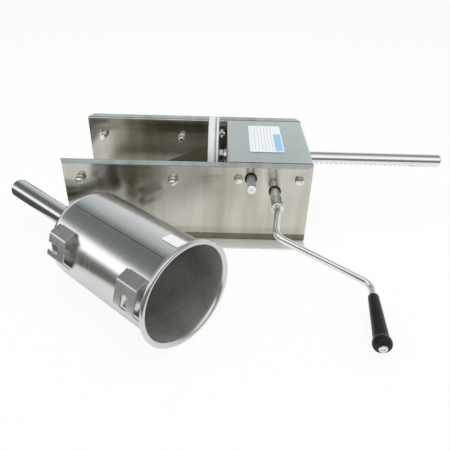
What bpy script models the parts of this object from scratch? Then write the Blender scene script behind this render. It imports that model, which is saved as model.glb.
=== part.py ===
"""Hand-cranked two-speed sausage stuffer with its barrel lifted off the frame.

X runs along the frame towards the gearbox, Y points away from the crank side
and Z is up.  The origin is on the table, under the middle of the base.
"""
import math

import bmesh
import bpy
from mathutils import Matrix, Vector

# Clearances, cuts and facets.
fit = 0.0003
overrun = 0.004
weld_distance = 0.000001
small_sides = 16
shaft_sides = 20
hex_sides = 18
round_sides = 24
barrel_sides = 40
smooth_angle = math.radians(32)

# Base and the two side walls.
frame_length = 0.360
frame_width = 0.160
frame_height = 0.136
wall_sheet = 0.0015
fold_radius = 0.0022
base_width = 0.204
base_sheet = 0.002
base_corner = 0.006
rim_width = 0.015
rim_corner = 0.007
foot_width = 0.014

# Gearbox housing between the walls.
gearbox_length = 0.1245
housing_sheet = 0.002
housing_flange = 0.025
cover_sheet = 0.0015
cover_lip = 0.011
carrier_y = -0.0185
carrier_flange = 0.012
carrier_low = 0.045
carrier_top_gap = 0.007
panel_length = 0.051
panel_width = 0.100
panel_sheet = 0.0005
panel_inset = 0.0345
panel_shift = 0.005

# Gear teeth.
gear_module = 0.0025
pressure_angle = math.radians(25)
tip_share = 0.8
root_share = 1.1
tooth_thinning = 0.0006
pinion_teeth = 9
drive_teeth = 24
mesh_slack = 0.0002
flank_points = 3

# Shafts.
rod_drop = 0.028
rod_radius = 0.010
rack_depth = 0.00675
fast_x = 0.1275
slow_angle = math.radians(151)
shaft_radius = 0.007
stub_radius = 0.0067
stub_flat = 0.0061
stub_length = 0.034
centre_hole_radius = 0.0016
centre_hole_depth = 0.002
bush_wall = 0.0012
bush_inward = 0.004
rod_bush_wall = 0.0026
rod_bush_flange = 0.003
seal_radius = 0.0088
seal_thickness = 0.002
rack_pinion_width = 0.018
drive_width = 0.012
drive_y = -0.044
slow_pinion_width = 0.014
slow_shaft_end = -0.0145

# Rack rod and piston.
piston_face_x = 0.0275
rod_tail_x = 0.394
rod_tail_round = 0.003
rack_clear = 0.0165
rack_teeth = 31
piston_radius = 0.0599
piston_disc = 0.010
piston_round = 0.002
seal_ring = 0.0015
seal_ring_depth = 0.009
seal_ring_proud = 0.0004
backing_disc = 0.003
rod_stud_radius = 0.0055
stud_engagement = 0.007
rod_nut_flats = 0.018
rod_nut_length = 0.008
valve_stem_radius = 0.003
valve_head_radius = 0.007
valve_head = 0.0012
valve_nut_flats = 0.013
valve_nut = 0.0045
valve_tail = 0.003
valve_lift = 0.002
valve_y = 0.035
valve_z = 0.022

# Support pins, gearbox bolts and their nuts.
front_pin_x = -0.1555
rear_pin_x = -0.0215
pin_radius = 0.0047
pin_collar_radius = 0.0064
pin_thread_radius = 0.004
pin_thread_length = 0.0085
acorn_flats = 0.013
acorn_hex = 0.0055
acorn_height = 0.0125
acorn_shoulder_share = 0.96
acorn_dome_steps = 4
bolt_drop = 0.027
bolt_inset = 0.018
bolt_radius = 0.003
bolt_flats = 0.0115
bolt_head = 0.0055
bolt_edge_share = 0.8
bolt_crown_share = 0.92
bolt_nut = 0.005

# Crank, bent from round bar and welded to its socket.
socket_radius = 0.0085
socket_length = 0.027
socket_gap = 0.020
socket_bore = 0.0071
socket_taper = 0.003
crank_radius = 0.0048
crank_bend = 0.013
bend_steps = 6
first_bend_left = 0.0072
first_bend_out = 0.1898
first_bend_drop = 0.0038
second_bend_right = 0.1244
second_bend_out = 0.2044
second_bend_drop = 0.0676
grip_end_right = 0.1110
grip_end_out = 0.3189
grip_end_drop = 0.0680
crank_tail = 0.024
set_screw_radius = 0.0025
set_screw_place = 0.008

# Turning grip.
grip_length = 0.088
grip_radius = 0.0118
grip_shares = ((0.0, 0.50), (0.012, 0.57), (0.35, 0.69), (0.78, 0.81), (0.86, 0.83), (0.89, 0.96),
               (0.94, 1.0), (0.98, 0.92), (1.0, 0.72))
grip_bolt_radius = 0.003
grip_bolt_head_radius = 0.0052
grip_bolt_head = 0.003
grip_bolt_thread = 0.009
grip_bolt_socket = 0.0025

# Barrel, lying in front of the frame.
barrel_radius = 0.0615
barrel_wall = 0.001
barrel_length = 0.202
barrel_end_round = 0.020
lip_radius = 0.0682
lip_bead = 0.0015
lip_bead_points = 5
flare_length = 0.010
flare_steps = 2
end_round_steps = 5
outlet_radius = 0.016
mouth_x = 0.0154
mouth_y = -0.2872
barrel_heading = math.radians(-41.9)
barrel_roll = math.radians(20)
label_start = 0.012
label_length = 0.026
label_thickness = 0.0004
label_from = math.radians(68)
label_sweep = math.radians(14)
label_steps = 3

# Hook brackets on the barrel.
bracket_sheet = 0.002
bracket_length = 0.034
bracket_half_height = 0.0145
bracket_face = 0.0708
bracket_weld_angle = math.radians(22.5)
bracket_fold = 0.003
bracket_slot = 0.0102
slot_drop = 0.003
rear_slot_from_mouth = 0.028

# Outlet, stuffing tube and its nut.
spigot_flange_radius = 0.025
spigot_flange = 0.002
spigot_radius = 0.0195
spigot_bore = 0.0135
spigot_length = 0.014
gasket = 0.0015
tube_radius = 0.0145
tube_wall = 0.001
tube_reach = 0.184
tube_flange_radius = 0.0185
tube_flange = 0.002
tube_nut_radius = 0.0235
tube_nut_lip = 0.002
tube_nut_skirt = 0.011
tube_nut_grips = 12
tube_nut_grip_depth = 0.0008

# Places worked out from the driving sizes.
wall_outer = frame_width / 2
wall_inner = wall_outer - wall_sheet
housing_outer = wall_inner - fit
frame_end = frame_length / 2
rod_height = frame_height - rod_drop
bolt_height = frame_height - bolt_drop
carrier_high = frame_height - carrier_top_gap
gearbox_front = frame_end - gearbox_length
pinion_pitch = gear_module * pinion_teeth / 2
drive_pitch = gear_module * drive_teeth / 2
tooth_tip = gear_module * tip_share
tooth_root = gear_module * root_share
fast_height = rod_height - rack_depth - pinion_pitch
gear_distance = pinion_pitch + drive_pitch + mesh_slack
slow_x = fast_x + gear_distance * math.cos(slow_angle)
slow_height = fast_height + gear_distance * math.sin(slow_angle)
pin_height = rod_height - slot_drop
stub_end = wall_outer + stub_length
bush_radius = shaft_radius + fit + bush_wall
lip_centre_height = lip_radius + fit
barrel_tilt = math.asin((lip_radius - barrel_radius) / barrel_length)

TOWARDS_CRANK = (math.pi / 2, 0.0, 0.0)
TOWARDS_BACK = (-math.pi / 2, 0.0, 0.0)
ALONG_ROD = (0.0, math.pi / 2, 0.0)
Z_AXIS = Vector((0.0, 0.0, 1.0))


def clear_scene():
    for old in list(bpy.data.objects):
        bpy.data.objects.remove(old, do_unlink=True)


def finish(name, colour, metallic, roughness):
    """A plain Principled finish of one piece."""
    material = bpy.data.materials.new(name + "_finish")
    material.use_nodes = True
    shader = material.node_tree.nodes["Principled BSDF"]
    shader.inputs["Base Color"].default_value = (*colour, 1.0)
    shader.inputs["Metallic"].default_value = metallic
    shader.inputs["Roughness"].default_value = roughness
    return material


def brushed(name):
    return finish(name, (0.60, 0.59, 0.57), 1.0, 0.32)


def polished(name):
    return finish(name, (0.72, 0.72, 0.73), 1.0, 0.12)


def machined(name):
    return finish(name, (0.50, 0.50, 0.51), 1.0, 0.28)


def black_rubber(name):
    return finish(name, (0.02, 0.02, 0.022), 0.0, 0.55)


def black_plastic(name):
    return finish(name, (0.015, 0.015, 0.016), 0.0, 0.30)


def white_plastic(name):
    return finish(name, (0.86, 0.87, 0.88), 0.0, 0.38)


def add_axis(name, location, rotation=(0.0, 0.0, 0.0)):
    """An empty on a joint's axis, which carries the pieces that move there."""
    axis = bpy.data.objects.new(name, None)
    axis.location = location
    axis.rotation_euler = rotation
    bpy.context.collection.objects.link(axis)
    return axis


def add_mesh(name, bm, location, rotation, parent):
    bmesh.ops.recalc_face_normals(bm, faces=bm.faces[:])
    mesh = bpy.data.meshes.new(name)
    bm.to_mesh(mesh)
    bm.free()
    mesh.shade_smooth()
    mesh.set_sharp_from_angle(angle=smooth_angle)
    solid = bpy.data.objects.new(name, mesh)
    solid.location = location
    solid.rotation_euler = rotation
    solid.parent = parent
    bpy.context.collection.objects.link(solid)
    return solid


def add_part(name, bm, look, location=(0.0, 0.0, 0.0), rotation=(0.0, 0.0, 0.0), parent=None):
    part = add_mesh(name, bm, location, rotation, parent)
    part.data.materials.append(look(name))
    return part


def cut(part, name, bm, location=(0.0, 0.0, 0.0), rotation=(0.0, 0.0, 0.0), parent=None):
    """Cut one piece with a guide solid that is left out of the model."""
    cutter = add_mesh(name, bm, location, rotation, parent)
    cutter.hide_render = True
    cutter.display_type = 'WIRE'
    boolean = part.modifiers.new(name, 'BOOLEAN')
    boolean.operation = 'DIFFERENCE'
    boolean.solver = 'EXACT'
    boolean.object = cutter


def turned(profile, sides=small_sides):
    """Turn (along, radius) points about Z; a profile that starts on the axis ends on it."""
    bm = bmesh.new()
    points = [bm.verts.new((radius, 0.0, along)) for along, radius in profile]
    for first, second in zip(points, points[1:]):
        bm.edges.new((first, second))
    if profile[0][1] > 0.0:
        bm.edges.new((points[-1], points[0]))
    bmesh.ops.spin(bm, geom=bm.verts[:] + bm.edges[:], cent=(0.0, 0.0, 0.0), axis=(0.0, 0.0, 1.0),
                   angle=2 * math.pi, steps=sides, use_merge=True)
    bmesh.ops.remove_doubles(bm, verts=bm.verts[:], dist=weld_distance)
    return bm


def rod_solid(radius, low, high, sides=small_sides):
    return turned([(low, 0.0), (low, radius), (high, radius), (high, 0.0)], sides)


def ring_solid(bore, radius, low, high, sides=small_sides):
    return turned([(low, bore), (low, radius), (high, radius), (high, bore)], sides)


def box(low, high):
    bm = bmesh.new()
    bmesh.ops.create_cube(bm, size=1.0)
    size = Vector(high) - Vector(low)
    middle = (Vector(high) + Vector(low)) / 2
    bmesh.ops.scale(bm, vec=size, verts=bm.verts[:])
    bmesh.ops.translate(bm, vec=middle, verts=bm.verts[:])
    return bm


def extruded(outline, low, high):
    """Raise a flat XY outline from one height to another."""
    bm = bmesh.new()
    face = bm.faces.new([bm.verts.new((x, y, low)) for x, y in outline])
    raised = bmesh.ops.extrude_face_region(bm, geom=[face])
    top = [item for item in raised["geom"] if isinstance(item, bmesh.types.BMVert)]
    bmesh.ops.translate(bm, vec=(0.0, 0.0, high - low), verts=top)
    return bm


def oriented(bm, x_to, y_to, z_to):
    """Send the local axes of a mesh to three world directions."""
    turn = Matrix((x_to, y_to, z_to)).transposed().to_4x4()
    bmesh.ops.transform(bm, matrix=turn, verts=bm.verts[:])
    return bm


def joined(solids):
    """Several solids in one mesh, for a cutter that makes several holes."""
    whole = bmesh.new()
    for bm in solids:
        piece = bpy.data.meshes.new("piece")
        bm.to_mesh(piece)
        bm.free()
        whole.from_mesh(piece)
        bpy.data.meshes.remove(piece)
    return whole


def rounded_route(corners, radius, steps):
    """A route through corners with round bends, as (point, direction) pairs."""
    route = [(corners[0], (corners[1] - corners[0]).normalized())]
    for before, corner, after in zip(corners, corners[1:], corners[2:]):
        coming = (corner - before).normalized()
        going = (after - corner).normalized()
        bend = coming.angle(going)
        reach = radius * math.tan(bend / 2)
        inward = (going - coming).normalized()
        centre = corner + inward * radius / math.cos(bend / 2)
        axis = coming.cross(going).normalized()
        start = corner - coming * reach
        for step in range(steps + 1):
            turn = Matrix.Rotation(bend * step / steps, 3, axis)
            route.append((centre + turn @ (start - centre), turn @ coming))
    route.append((corners[-1], (corners[-1] - corners[-2]).normalized()))
    return route


def sheet_outline(corners, sheet, fold, steps=3):
    """The edge-on outline of a folded sheet whose middle follows the corners."""
    flat = [Vector((u, v, 0.0)) for u, v in corners]
    left = []
    right = []
    for point, direction in rounded_route(flat, fold, steps):
        side = Z_AXIS.cross(direction) * sheet / 2
        left.append((point + side)[:2])
        right.append((point - side)[:2])
    return left + right[::-1]


def folded(corners, sheet, fold, low, high):
    return extruded(sheet_outline(corners, sheet, fold), low, high)


def hexagonal(bm, across_flats, low, high, bore):
    """Move the outer rings between two heights onto a hexagon."""
    for vert in bm.verts:
        radius = vert.co.xy.length
        if low - weld_distance <= vert.co.z <= high + weld_distance and radius > bore + weld_distance:
            angle = math.atan2(vert.co.y, vert.co.x)
            in_flat = (angle % math.radians(60)) - math.radians(30)
            reach = across_flats / 2 / math.cos(in_flat)
            vert.co.x = reach * math.cos(angle)
            vert.co.y = reach * math.sin(angle)
    return bm


def holes_along_y(places, low, high):
    """Drills across the frame: (x, z, radius) places between two depths."""
    drills = []
    for x, z, radius in places:
        drill = rod_solid(radius, low, high)
        oriented(drill, (1.0, 0.0, 0.0), (0.0, 0.0, -1.0), (0.0, 1.0, 0.0))
        bmesh.ops.translate(drill, vec=(x, 0.0, z), verts=drill.verts[:])
        drills.append(drill)
    return joined(drills)


def gear(teeth, bore, width, tooth_angle):
    """A spur gear with involute flanks, one tooth centred on tooth_angle."""
    pitch = gear_module * teeth / 2
    base = pitch * math.cos(pressure_angle)
    tip = pitch + tooth_tip
    root = pitch - tooth_root
    half_pitch_angle = (math.pi * gear_module / 2 - tooth_thinning) / (2 * pitch)
    pitch_involute = math.tan(pressure_angle) - pressure_angle
    flank_start = max(base, root)
    flank = []
    for step in range(flank_points):
        radius = flank_start + (tip - flank_start) * step / (flank_points - 1)
        lean = math.acos(base / radius)
        flank.append((radius, half_pitch_angle + pitch_involute - math.tan(lean) + lean))
    if root < base:
        flank.insert(0, (root, flank[0][1]))
    polar = []
    for tooth in range(teeth):
        middle = tooth_angle + 2 * math.pi * tooth / teeth
        polar += [(radius, middle - half) for radius, half in flank]
        polar += [(radius, middle + half) for radius, half in reversed(flank)]
    bm = bmesh.new()
    outer = [bm.verts.new((r * math.cos(a), r * math.sin(a), -width / 2)) for r, a in polar]
    inner = [bm.verts.new((bore * math.cos(a), bore * math.sin(a), -width / 2)) for _, a in polar]
    faces = []
    for index in range(len(polar)):
        after = (index + 1) % len(polar)
        faces.append(bm.faces.new((outer[index], outer[after], inner[after], inner[index])))
    raised = bmesh.ops.extrude_face_region(bm, geom=faces)
    top = [item for item in raised["geom"] if isinstance(item, bmesh.types.BMVert)]
    bmesh.ops.translate(bm, vec=(0.0, 0.0, width), verts=top)
    return bm


def build_base():
    low = (-frame_end, -base_width / 2, 0.0)
    high = (frame_end, base_width / 2, base_sheet)
    bm = box(low, high)
    uprights = [edge for edge in bm.edges if abs((edge.verts[0].co - edge.verts[1].co).z) > base_sheet / 2]
    bmesh.ops.bevel(bm, geom=uprights, offset=base_corner, segments=4, profile=0.5, affect='EDGES')
    add_part("base_plate", bm, brushed)


def build_side_panel(name, side, holes):
    """One wall with its outward rim and inward foot; side is -1 near, 1 far."""
    middle = wall_outer - wall_sheet / 2
    foot_level = base_sheet + fit + wall_sheet / 2
    rim_level = frame_height - wall_sheet / 2
    corners = [(side * (wall_inner - foot_width), foot_level), (side * middle, foot_level),
               (side * middle, rim_level), (side * (wall_outer + rim_width), rim_level)]
    bm = folded(corners, wall_sheet, fold_radius, -frame_end, frame_end)
    oriented(bm, (0.0, 1.0, 0.0), (0.0, 0.0, 1.0), (1.0, 0.0, 0.0))
    for vert in bm.verts:
        if abs(vert.co.y) > wall_outer + rim_width / 2:
            vert.co.x -= math.copysign(rim_corner, vert.co.x)
    panel = add_part(name, bm, brushed)
    low, high = sorted((side * (wall_inner - overrun), side * (wall_outer + overrun)))
    cut(panel, name + "_holes", holes_along_y(holes, low, high))


def build_walls():
    pin_hole = pin_thread_radius + fit
    bolt_hole = bolt_radius + fit
    bush_hole = bush_radius + fit
    shared = [(front_pin_x, pin_height, pin_hole), (rear_pin_x, pin_height, pin_hole),
              (gearbox_front + bolt_inset, bolt_height, bolt_hole),
              (frame_end - bolt_inset, bolt_height, bolt_hole),
              (fast_x, fast_height, bush_hole)]
    build_side_panel("near_side_panel", -1, shared + [(slow_x, slow_height, bush_hole)])
    build_side_panel("far_side_panel", 1, shared)


def build_gearbox_plate(name, outer_x, inward):
    """A channel plate across the frame, with the rod's hole and two bolted flanges."""
    middle = outer_x + inward * (cover_sheet + fit + housing_sheet / 2)
    side = housing_outer - housing_sheet / 2
    tip = outer_x + inward * housing_flange
    corners = [(tip, -side), (middle, -side), (middle, side), (tip, side)]
    low = base_sheet + wall_sheet + fold_radius + fit
    high = frame_height - cover_sheet - fold_radius
    plate = add_part(name, folded(corners, housing_sheet, fold_radius, low, high), brushed)
    collar = rod_radius + rod_bush_wall
    hole = rod_solid(collar + fit, -housing_flange, housing_flange)
    cut(plate, name + "_rod_hole", hole, (middle, 0.0, rod_height), ALONG_ROD)
    drill_x = outer_x + inward * bolt_inset
    drills = holes_along_y([(drill_x, bolt_height, bolt_radius + fit)], -wall_outer, wall_outer)
    cut(plate, name + "_bolt_holes", drills)
    bush_end = housing_sheet + rod_bush_flange
    bush = turned([(-rod_bush_flange, rod_radius + fit), (-rod_bush_flange, collar + rod_bush_flange),
                   (0.0, collar + rod_bush_flange), (0.0, collar),
                   (bush_end, collar), (bush_end, rod_radius + fit)])
    seat = middle + inward * (housing_sheet / 2 + fit)
    facing = (0.0, -inward * math.pi / 2, 0.0)
    add_part(name.replace("plate", "rod_bush"), bush, machined, (seat, 0.0, rod_height), facing)


def build_gearbox():
    build_gearbox_plate("gearbox_front_plate", gearbox_front, 1)
    build_gearbox_plate("gearbox_rear_plate", frame_end, -1)
    half = cover_sheet / 2
    level = frame_height - half
    corners = [(gearbox_front + half, frame_height - cover_lip), (gearbox_front + half, level),
               (frame_end - half, level), (frame_end - half, frame_height - cover_lip)]
    cover = folded(corners, cover_sheet, fold_radius, -housing_outer, housing_outer)
    oriented(cover, (1.0, 0.0, 0.0), (0.0, 0.0, 1.0), (0.0, -1.0, 0.0))
    add_part("gearbox_cover", cover, brushed)
    panel_x = gearbox_front + panel_inset
    low = (panel_x, panel_shift - panel_width / 2, frame_height + fit)
    high = (panel_x + panel_length, panel_shift + panel_width / 2, frame_height + fit + panel_sheet)
    add_part("blank_rating_plate", box(low, high), white_plastic)


def build_carrier():
    """The inner plate that carries the gears' inner bearings beside the rod."""
    reach = cover_sheet + fit + housing_sheet + fit + housing_sheet / 2
    left = gearbox_front + reach
    right = frame_end - reach
    edge = carrier_y - carrier_flange
    corners = [(left, edge), (left, carrier_y), (right, carrier_y), (right, edge)]
    bm = folded(corners, housing_sheet, fold_radius, carrier_low, carrier_high)
    carrier = add_part("gear_carrier_plate", bm, machined)
    hole = shaft_radius + 2 * fit
    places = [(fast_x, fast_height, hole), (slow_x, slow_height, hole)]
    cut(carrier, "carrier_holes", holes_along_y(places, carrier_y - overrun, carrier_y + overrun))


def build_bush(name, x, z, facing, y):
    """A plain bearing bush pressed into a wall from inside."""
    bush = ring_solid(shaft_radius + fit, bush_radius, -bush_inward, wall_sheet)
    add_part(name, bush, machined, (x, y, z), facing)


def build_bushes_and_seals():
    build_bush("fast_near_bush", fast_x, fast_height, TOWARDS_CRANK, -wall_inner)
    build_bush("fast_far_bush", fast_x, fast_height, TOWARDS_BACK, wall_inner)
    build_bush("slow_near_bush", slow_x, slow_height, TOWARDS_CRANK, -wall_inner)
    for name, x, z in (("fast_shaft_seal", fast_x, fast_height), ("slow_shaft_seal", slow_x, slow_height)):
        half_round = seal_thickness / 2
        profile = [(fit, shaft_radius + fit), (fit, seal_radius), (fit + half_round, seal_radius + fit),
                   (fit + seal_thickness, seal_radius - half_round), (fit + seal_thickness, shaft_radius + fit)]
        add_part(name, turned(profile, round_sides), black_rubber, (x, -wall_outer, z), TOWARDS_CRANK)


def build_support_pin(name, x, facing, y):
    """A shouldered pin: its collar centres the barrel and its end takes the bracket."""
    collar_end = wall_inner - bracket_face - 2 * fit
    pin_end = wall_inner - barrel_radius - 2 * fit
    profile = [(-pin_end, 0.0), (-pin_end, pin_radius), (-collar_end, pin_radius),
               (-collar_end, pin_collar_radius), (-fit, pin_collar_radius), (-fit, pin_thread_radius),
               (pin_thread_length, pin_thread_radius), (pin_thread_length, 0.0)]
    add_part(name + "_pin", turned(profile), polished, (x, y, pin_height), facing)
    seat = wall_sheet + fit
    bore = pin_thread_radius + fit
    shoulder = acorn_flats / 2 * acorn_shoulder_share
    top = seat + acorn_hex
    profile = [(pin_thread_length + fit, 0.0), (pin_thread_length + fit, bore), (seat, bore),
               (seat, acorn_flats / 2), (top, acorn_flats / 2)]
    for step in range(acorn_dome_steps):
        climb = math.pi / 2 * step / acorn_dome_steps
        profile.append((top + (acorn_height - acorn_hex) * math.sin(climb), shoulder * math.cos(climb)))
    profile.append((seat + acorn_height, 0.0))
    nut = hexagonal(turned(profile, hex_sides), acorn_flats, seat, top, shoulder)
    add_part(name + "_acorn_nut", nut, polished, (x, y, pin_height), facing)


def build_gearbox_bolt(name, x, facing, y):
    """A domed hexagon bolt through wall and housing flange, with its nut inside."""
    inside = housing_sheet + 2 * fit
    grip = inside + bolt_nut + fit
    head = wall_sheet + fit
    edge = head + bolt_head * bolt_edge_share
    crown = bolt_flats / 2 * bolt_crown_share
    profile = [(-grip, 0.0), (-grip, bolt_radius), (head, bolt_radius), (head, bolt_flats / 2),
               (edge, bolt_flats / 2), (head + bolt_head, crown), (head + bolt_head, 0.0)]
    bolt = hexagonal(turned(profile, hex_sides), bolt_flats, head, edge, bolt_radius)
    add_part(name + "_bolt", bolt, polished, (x, y, bolt_height), facing)
    nut = ring_solid(bolt_radius + fit, bolt_flats / 2, -inside - bolt_nut, -inside, hex_sides)
    hexagonal(nut, bolt_flats, -inside - bolt_nut, -inside, bolt_radius + fit)
    add_part(name + "_nut", nut, polished, (x, y, bolt_height), facing)


def build_fasteners():
    for side, facing, sign in (("near", TOWARDS_CRANK, -1), ("far", TOWARDS_BACK, 1)):
        wall = sign * wall_inner
        build_support_pin(side + "_front", front_pin_x, facing, wall)
        build_support_pin(side + "_rear", rear_pin_x, facing, wall)
        build_gearbox_bolt(side + "_gearbox_front", gearbox_front + bolt_inset, facing, wall)
        build_gearbox_bolt(side + "_gearbox_rear", frame_end - bolt_inset, facing, wall)


def build_shaft(name, axis, inner_end):
    """A shaft whose outer stub has two flats and a centre hole."""
    stub_start = wall_outer + fit + seal_thickness
    profile = [(-inner_end, 0.0), (-inner_end, shaft_radius), (stub_start, shaft_radius),
               (stub_start, stub_radius), (stub_end, stub_radius), (stub_end, centre_hole_radius),
               (stub_end - centre_hole_depth, 0.0)]
    bm = turned(profile, shaft_sides)
    for vert in bm.verts:
        on_stub = vert.co.z > stub_start - weld_distance and vert.co.xy.length < stub_radius + weld_distance
        if on_stub and abs(vert.co.x) > stub_flat:
            vert.co.x = math.copysign(stub_flat, vert.co.x)
    add_part(name, bm, polished, (0.0, 0.0, 0.0), TOWARDS_CRANK, axis)


def build_drive(fast_axis, slow_axis):
    """Both shafts with their gears, meshed at rest with each other and the rack."""
    build_shaft("fast_shaft", fast_axis, wall_outer)
    build_shaft("slow_shaft", slow_axis, slow_shaft_end)
    bore = shaft_radius + fit
    half_tooth = math.pi / pinion_teeth
    rack_pinion = gear(pinion_teeth, bore, rack_pinion_width, math.pi / 2 + half_tooth)
    add_part("rack_pinion", rack_pinion, machined, (0.0, 0.0, 0.0), TOWARDS_CRANK, fast_axis)
    drive = gear(drive_teeth, bore, drive_width, slow_angle)
    add_part("drive_gear", drive, machined, (0.0, drive_y, 0.0), TOWARDS_CRANK, fast_axis)
    slow = gear(pinion_teeth, bore, slow_pinion_width, slow_angle + math.pi + half_tooth)
    add_part("slow_pinion", slow, machined, (0.0, drive_y, 0.0), TOWARDS_CRANK, slow_axis)


def rack_outline(first_x):
    """The comb that the teeth are cut with, in X and Z about the rod's axis."""
    pitch = math.pi * gear_module
    slope = math.tan(pressure_angle)
    half = (pitch / 2 - tooth_thinning) / 2
    tip_half = half - tooth_tip * slope
    root_half = half + tooth_root * slope
    tip_level = -rack_depth - tooth_tip
    root_level = -rack_depth + tooth_root
    points = [(first_x - pitch / 2, -rod_radius - overrun), (first_x - pitch / 2, root_level)]
    for tooth in range(rack_teeth):
        middle = first_x + tooth * pitch
        points += [(middle - root_half, root_level), (middle - tip_half, tip_level),
                   (middle + tip_half, tip_level), (middle + root_half, root_level)]
    last = first_x + (rack_teeth - 0.5) * pitch
    points += [(last, root_level), (last, -rod_radius - overrun)]
    return points


def build_rod(rod_axis):
    """The piston rod: a threaded stud, a round bar with rack teeth below, a round tail."""
    shoulder = piston_disc + seal_ring + backing_disc + 4 * fit + rod_nut_length
    tail = rod_tail_x - piston_face_x
    stud = piston_disc - stud_engagement
    profile = [(stud, 0.0), (stud, rod_stud_radius), (shoulder, rod_stud_radius), (shoulder, rod_radius),
               (tail - rod_tail_round, rod_radius), (tail, rod_radius - rod_tail_round), (tail, 0.0)]
    rod = add_part("rack_rod", turned(profile, round_sides), polished, (0.0, 0.0, 0.0), ALONG_ROD, rod_axis)
    pitch = math.pi * gear_module
    teeth_ahead = math.floor(rack_clear / pitch)
    first = fast_x - piston_face_x - teeth_ahead * pitch
    comb = extruded(rack_outline(first), -rod_radius - overrun, rod_radius + overrun)
    oriented(comb, (1.0, 0.0, 0.0), (0.0, 0.0, 1.0), (0.0, -1.0, 0.0))
    cut(rod, "rack_teeth_cut", comb, (0.0, 0.0, 0.0), (0.0, 0.0, 0.0), rod_axis)


def build_piston(rod_axis):
    """White disc, seal ring, backing disc, nut and the air valve beside the nut."""
    origin = (0.0, 0.0, 0.0)
    arc = [(piston_round * (1 - math.sin(turn)), piston_radius - piston_round * (1 - math.cos(turn)))
           for turn in (math.radians(30 * step) for step in range(3, -1, -1))]
    stud_hole = piston_disc - stud_engagement - fit
    stud_bore = rod_stud_radius + fit
    profile = [(0.0, 0.0)] + arc + [(piston_disc, piston_radius), (piston_disc, stud_bore),
                                    (stud_hole, stud_bore), (stud_hole, 0.0)]
    disc = add_part("piston_disc", turned(profile, barrel_sides), white_plastic, origin, ALONG_ROD, rod_axis)
    valve_bore = valve_stem_radius + fit
    valve_place = (0.0, valve_y, valve_z)
    depth = piston_disc + seal_ring + backing_disc + overrun
    cut(disc, "disc_valve_hole", rod_solid(valve_bore, -overrun, depth), valve_place, ALONG_ROD, rod_axis)
    ring_start = piston_disc + fit
    ring_radius = piston_radius + seal_ring_proud
    ring = ring_solid(ring_radius - seal_ring_depth, ring_radius, ring_start, ring_start + seal_ring,
                      barrel_sides)
    add_part("piston_seal_ring", ring, white_plastic, origin, ALONG_ROD, rod_axis)
    plate_start = ring_start + seal_ring + fit
    plate_end = plate_start + backing_disc
    plate_solid = ring_solid(stud_bore, piston_radius, plate_start, plate_end, barrel_sides)
    plate = add_part("piston_backing_disc", plate_solid, white_plastic, origin, ALONG_ROD, rod_axis)
    cut(plate, "plate_valve_hole", rod_solid(valve_bore, 0.0, depth), valve_place, ALONG_ROD, rod_axis)
    nut_start = plate_end + fit
    nut_end = nut_start + rod_nut_length - fit
    nut = ring_solid(stud_bore, rod_nut_flats / 2, nut_start, nut_end, hex_sides)
    hexagonal(nut, rod_nut_flats, nut_start, nut_end, stud_bore)
    add_part("piston_nut", nut, polished, origin, ALONG_ROD, rod_axis)
    hex_start = plate_end + valve_lift + fit
    hex_end = hex_start + valve_nut
    tail_end = hex_end + valve_tail
    profile = [(-fit - valve_head, 0.0), (-fit - valve_head, valve_head_radius), (-fit, valve_head_radius),
               (-fit, valve_stem_radius), (hex_start, valve_stem_radius),
               (hex_start, valve_nut_flats / 2), (hex_end, valve_nut_flats / 2),
               (hex_end, valve_stem_radius), (tail_end, valve_stem_radius), (tail_end, 0.0)]
    valve = hexagonal(turned(profile, hex_sides), valve_nut_flats, hex_start, hex_end, valve_stem_radius)
    add_part("piston_air_valve", valve, machined, valve_place, ALONG_ROD, rod_axis)


def crank_corners():
    """Crank route in the fast shaft's frame, from the socket's mouth to the grip's end."""
    mouth = wall_outer + seal_thickness + socket_gap
    return [Vector((0.0, -mouth, 0.0)), Vector((0.0, -mouth - socket_length - crank_bend / 2, 0.0)),
            Vector((-first_bend_left, -first_bend_out, -first_bend_drop)),
            Vector((second_bend_right, -second_bend_out, -second_bend_drop)),
            Vector((grip_end_right, -grip_end_out, -grip_end_drop))]


def swept(stations, sides):
    """A round bar through (point, direction, radius) stations, closed at both ends."""
    bm = bmesh.new()
    rings = []
    before = stations[0][1]
    across = before.orthogonal().normalized()
    for point, direction, radius in stations:
        across = before.rotation_difference(direction) @ across
        before = direction
        beside = direction.cross(across)
        turns = [2 * math.pi * index / sides for index in range(sides)]
        rings.append([bm.verts.new(point + (across * math.cos(turn) + beside * math.sin(turn)) * radius)
                      for turn in turns])
    for first, second in zip(rings, rings[1:]):
        for index in range(sides):
            after = (index + 1) % sides
            bm.faces.new((first[index], first[after], second[after], second[index]))
    bm.faces.new(rings[0])
    bm.faces.new(rings[-1])
    return bm


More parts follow.
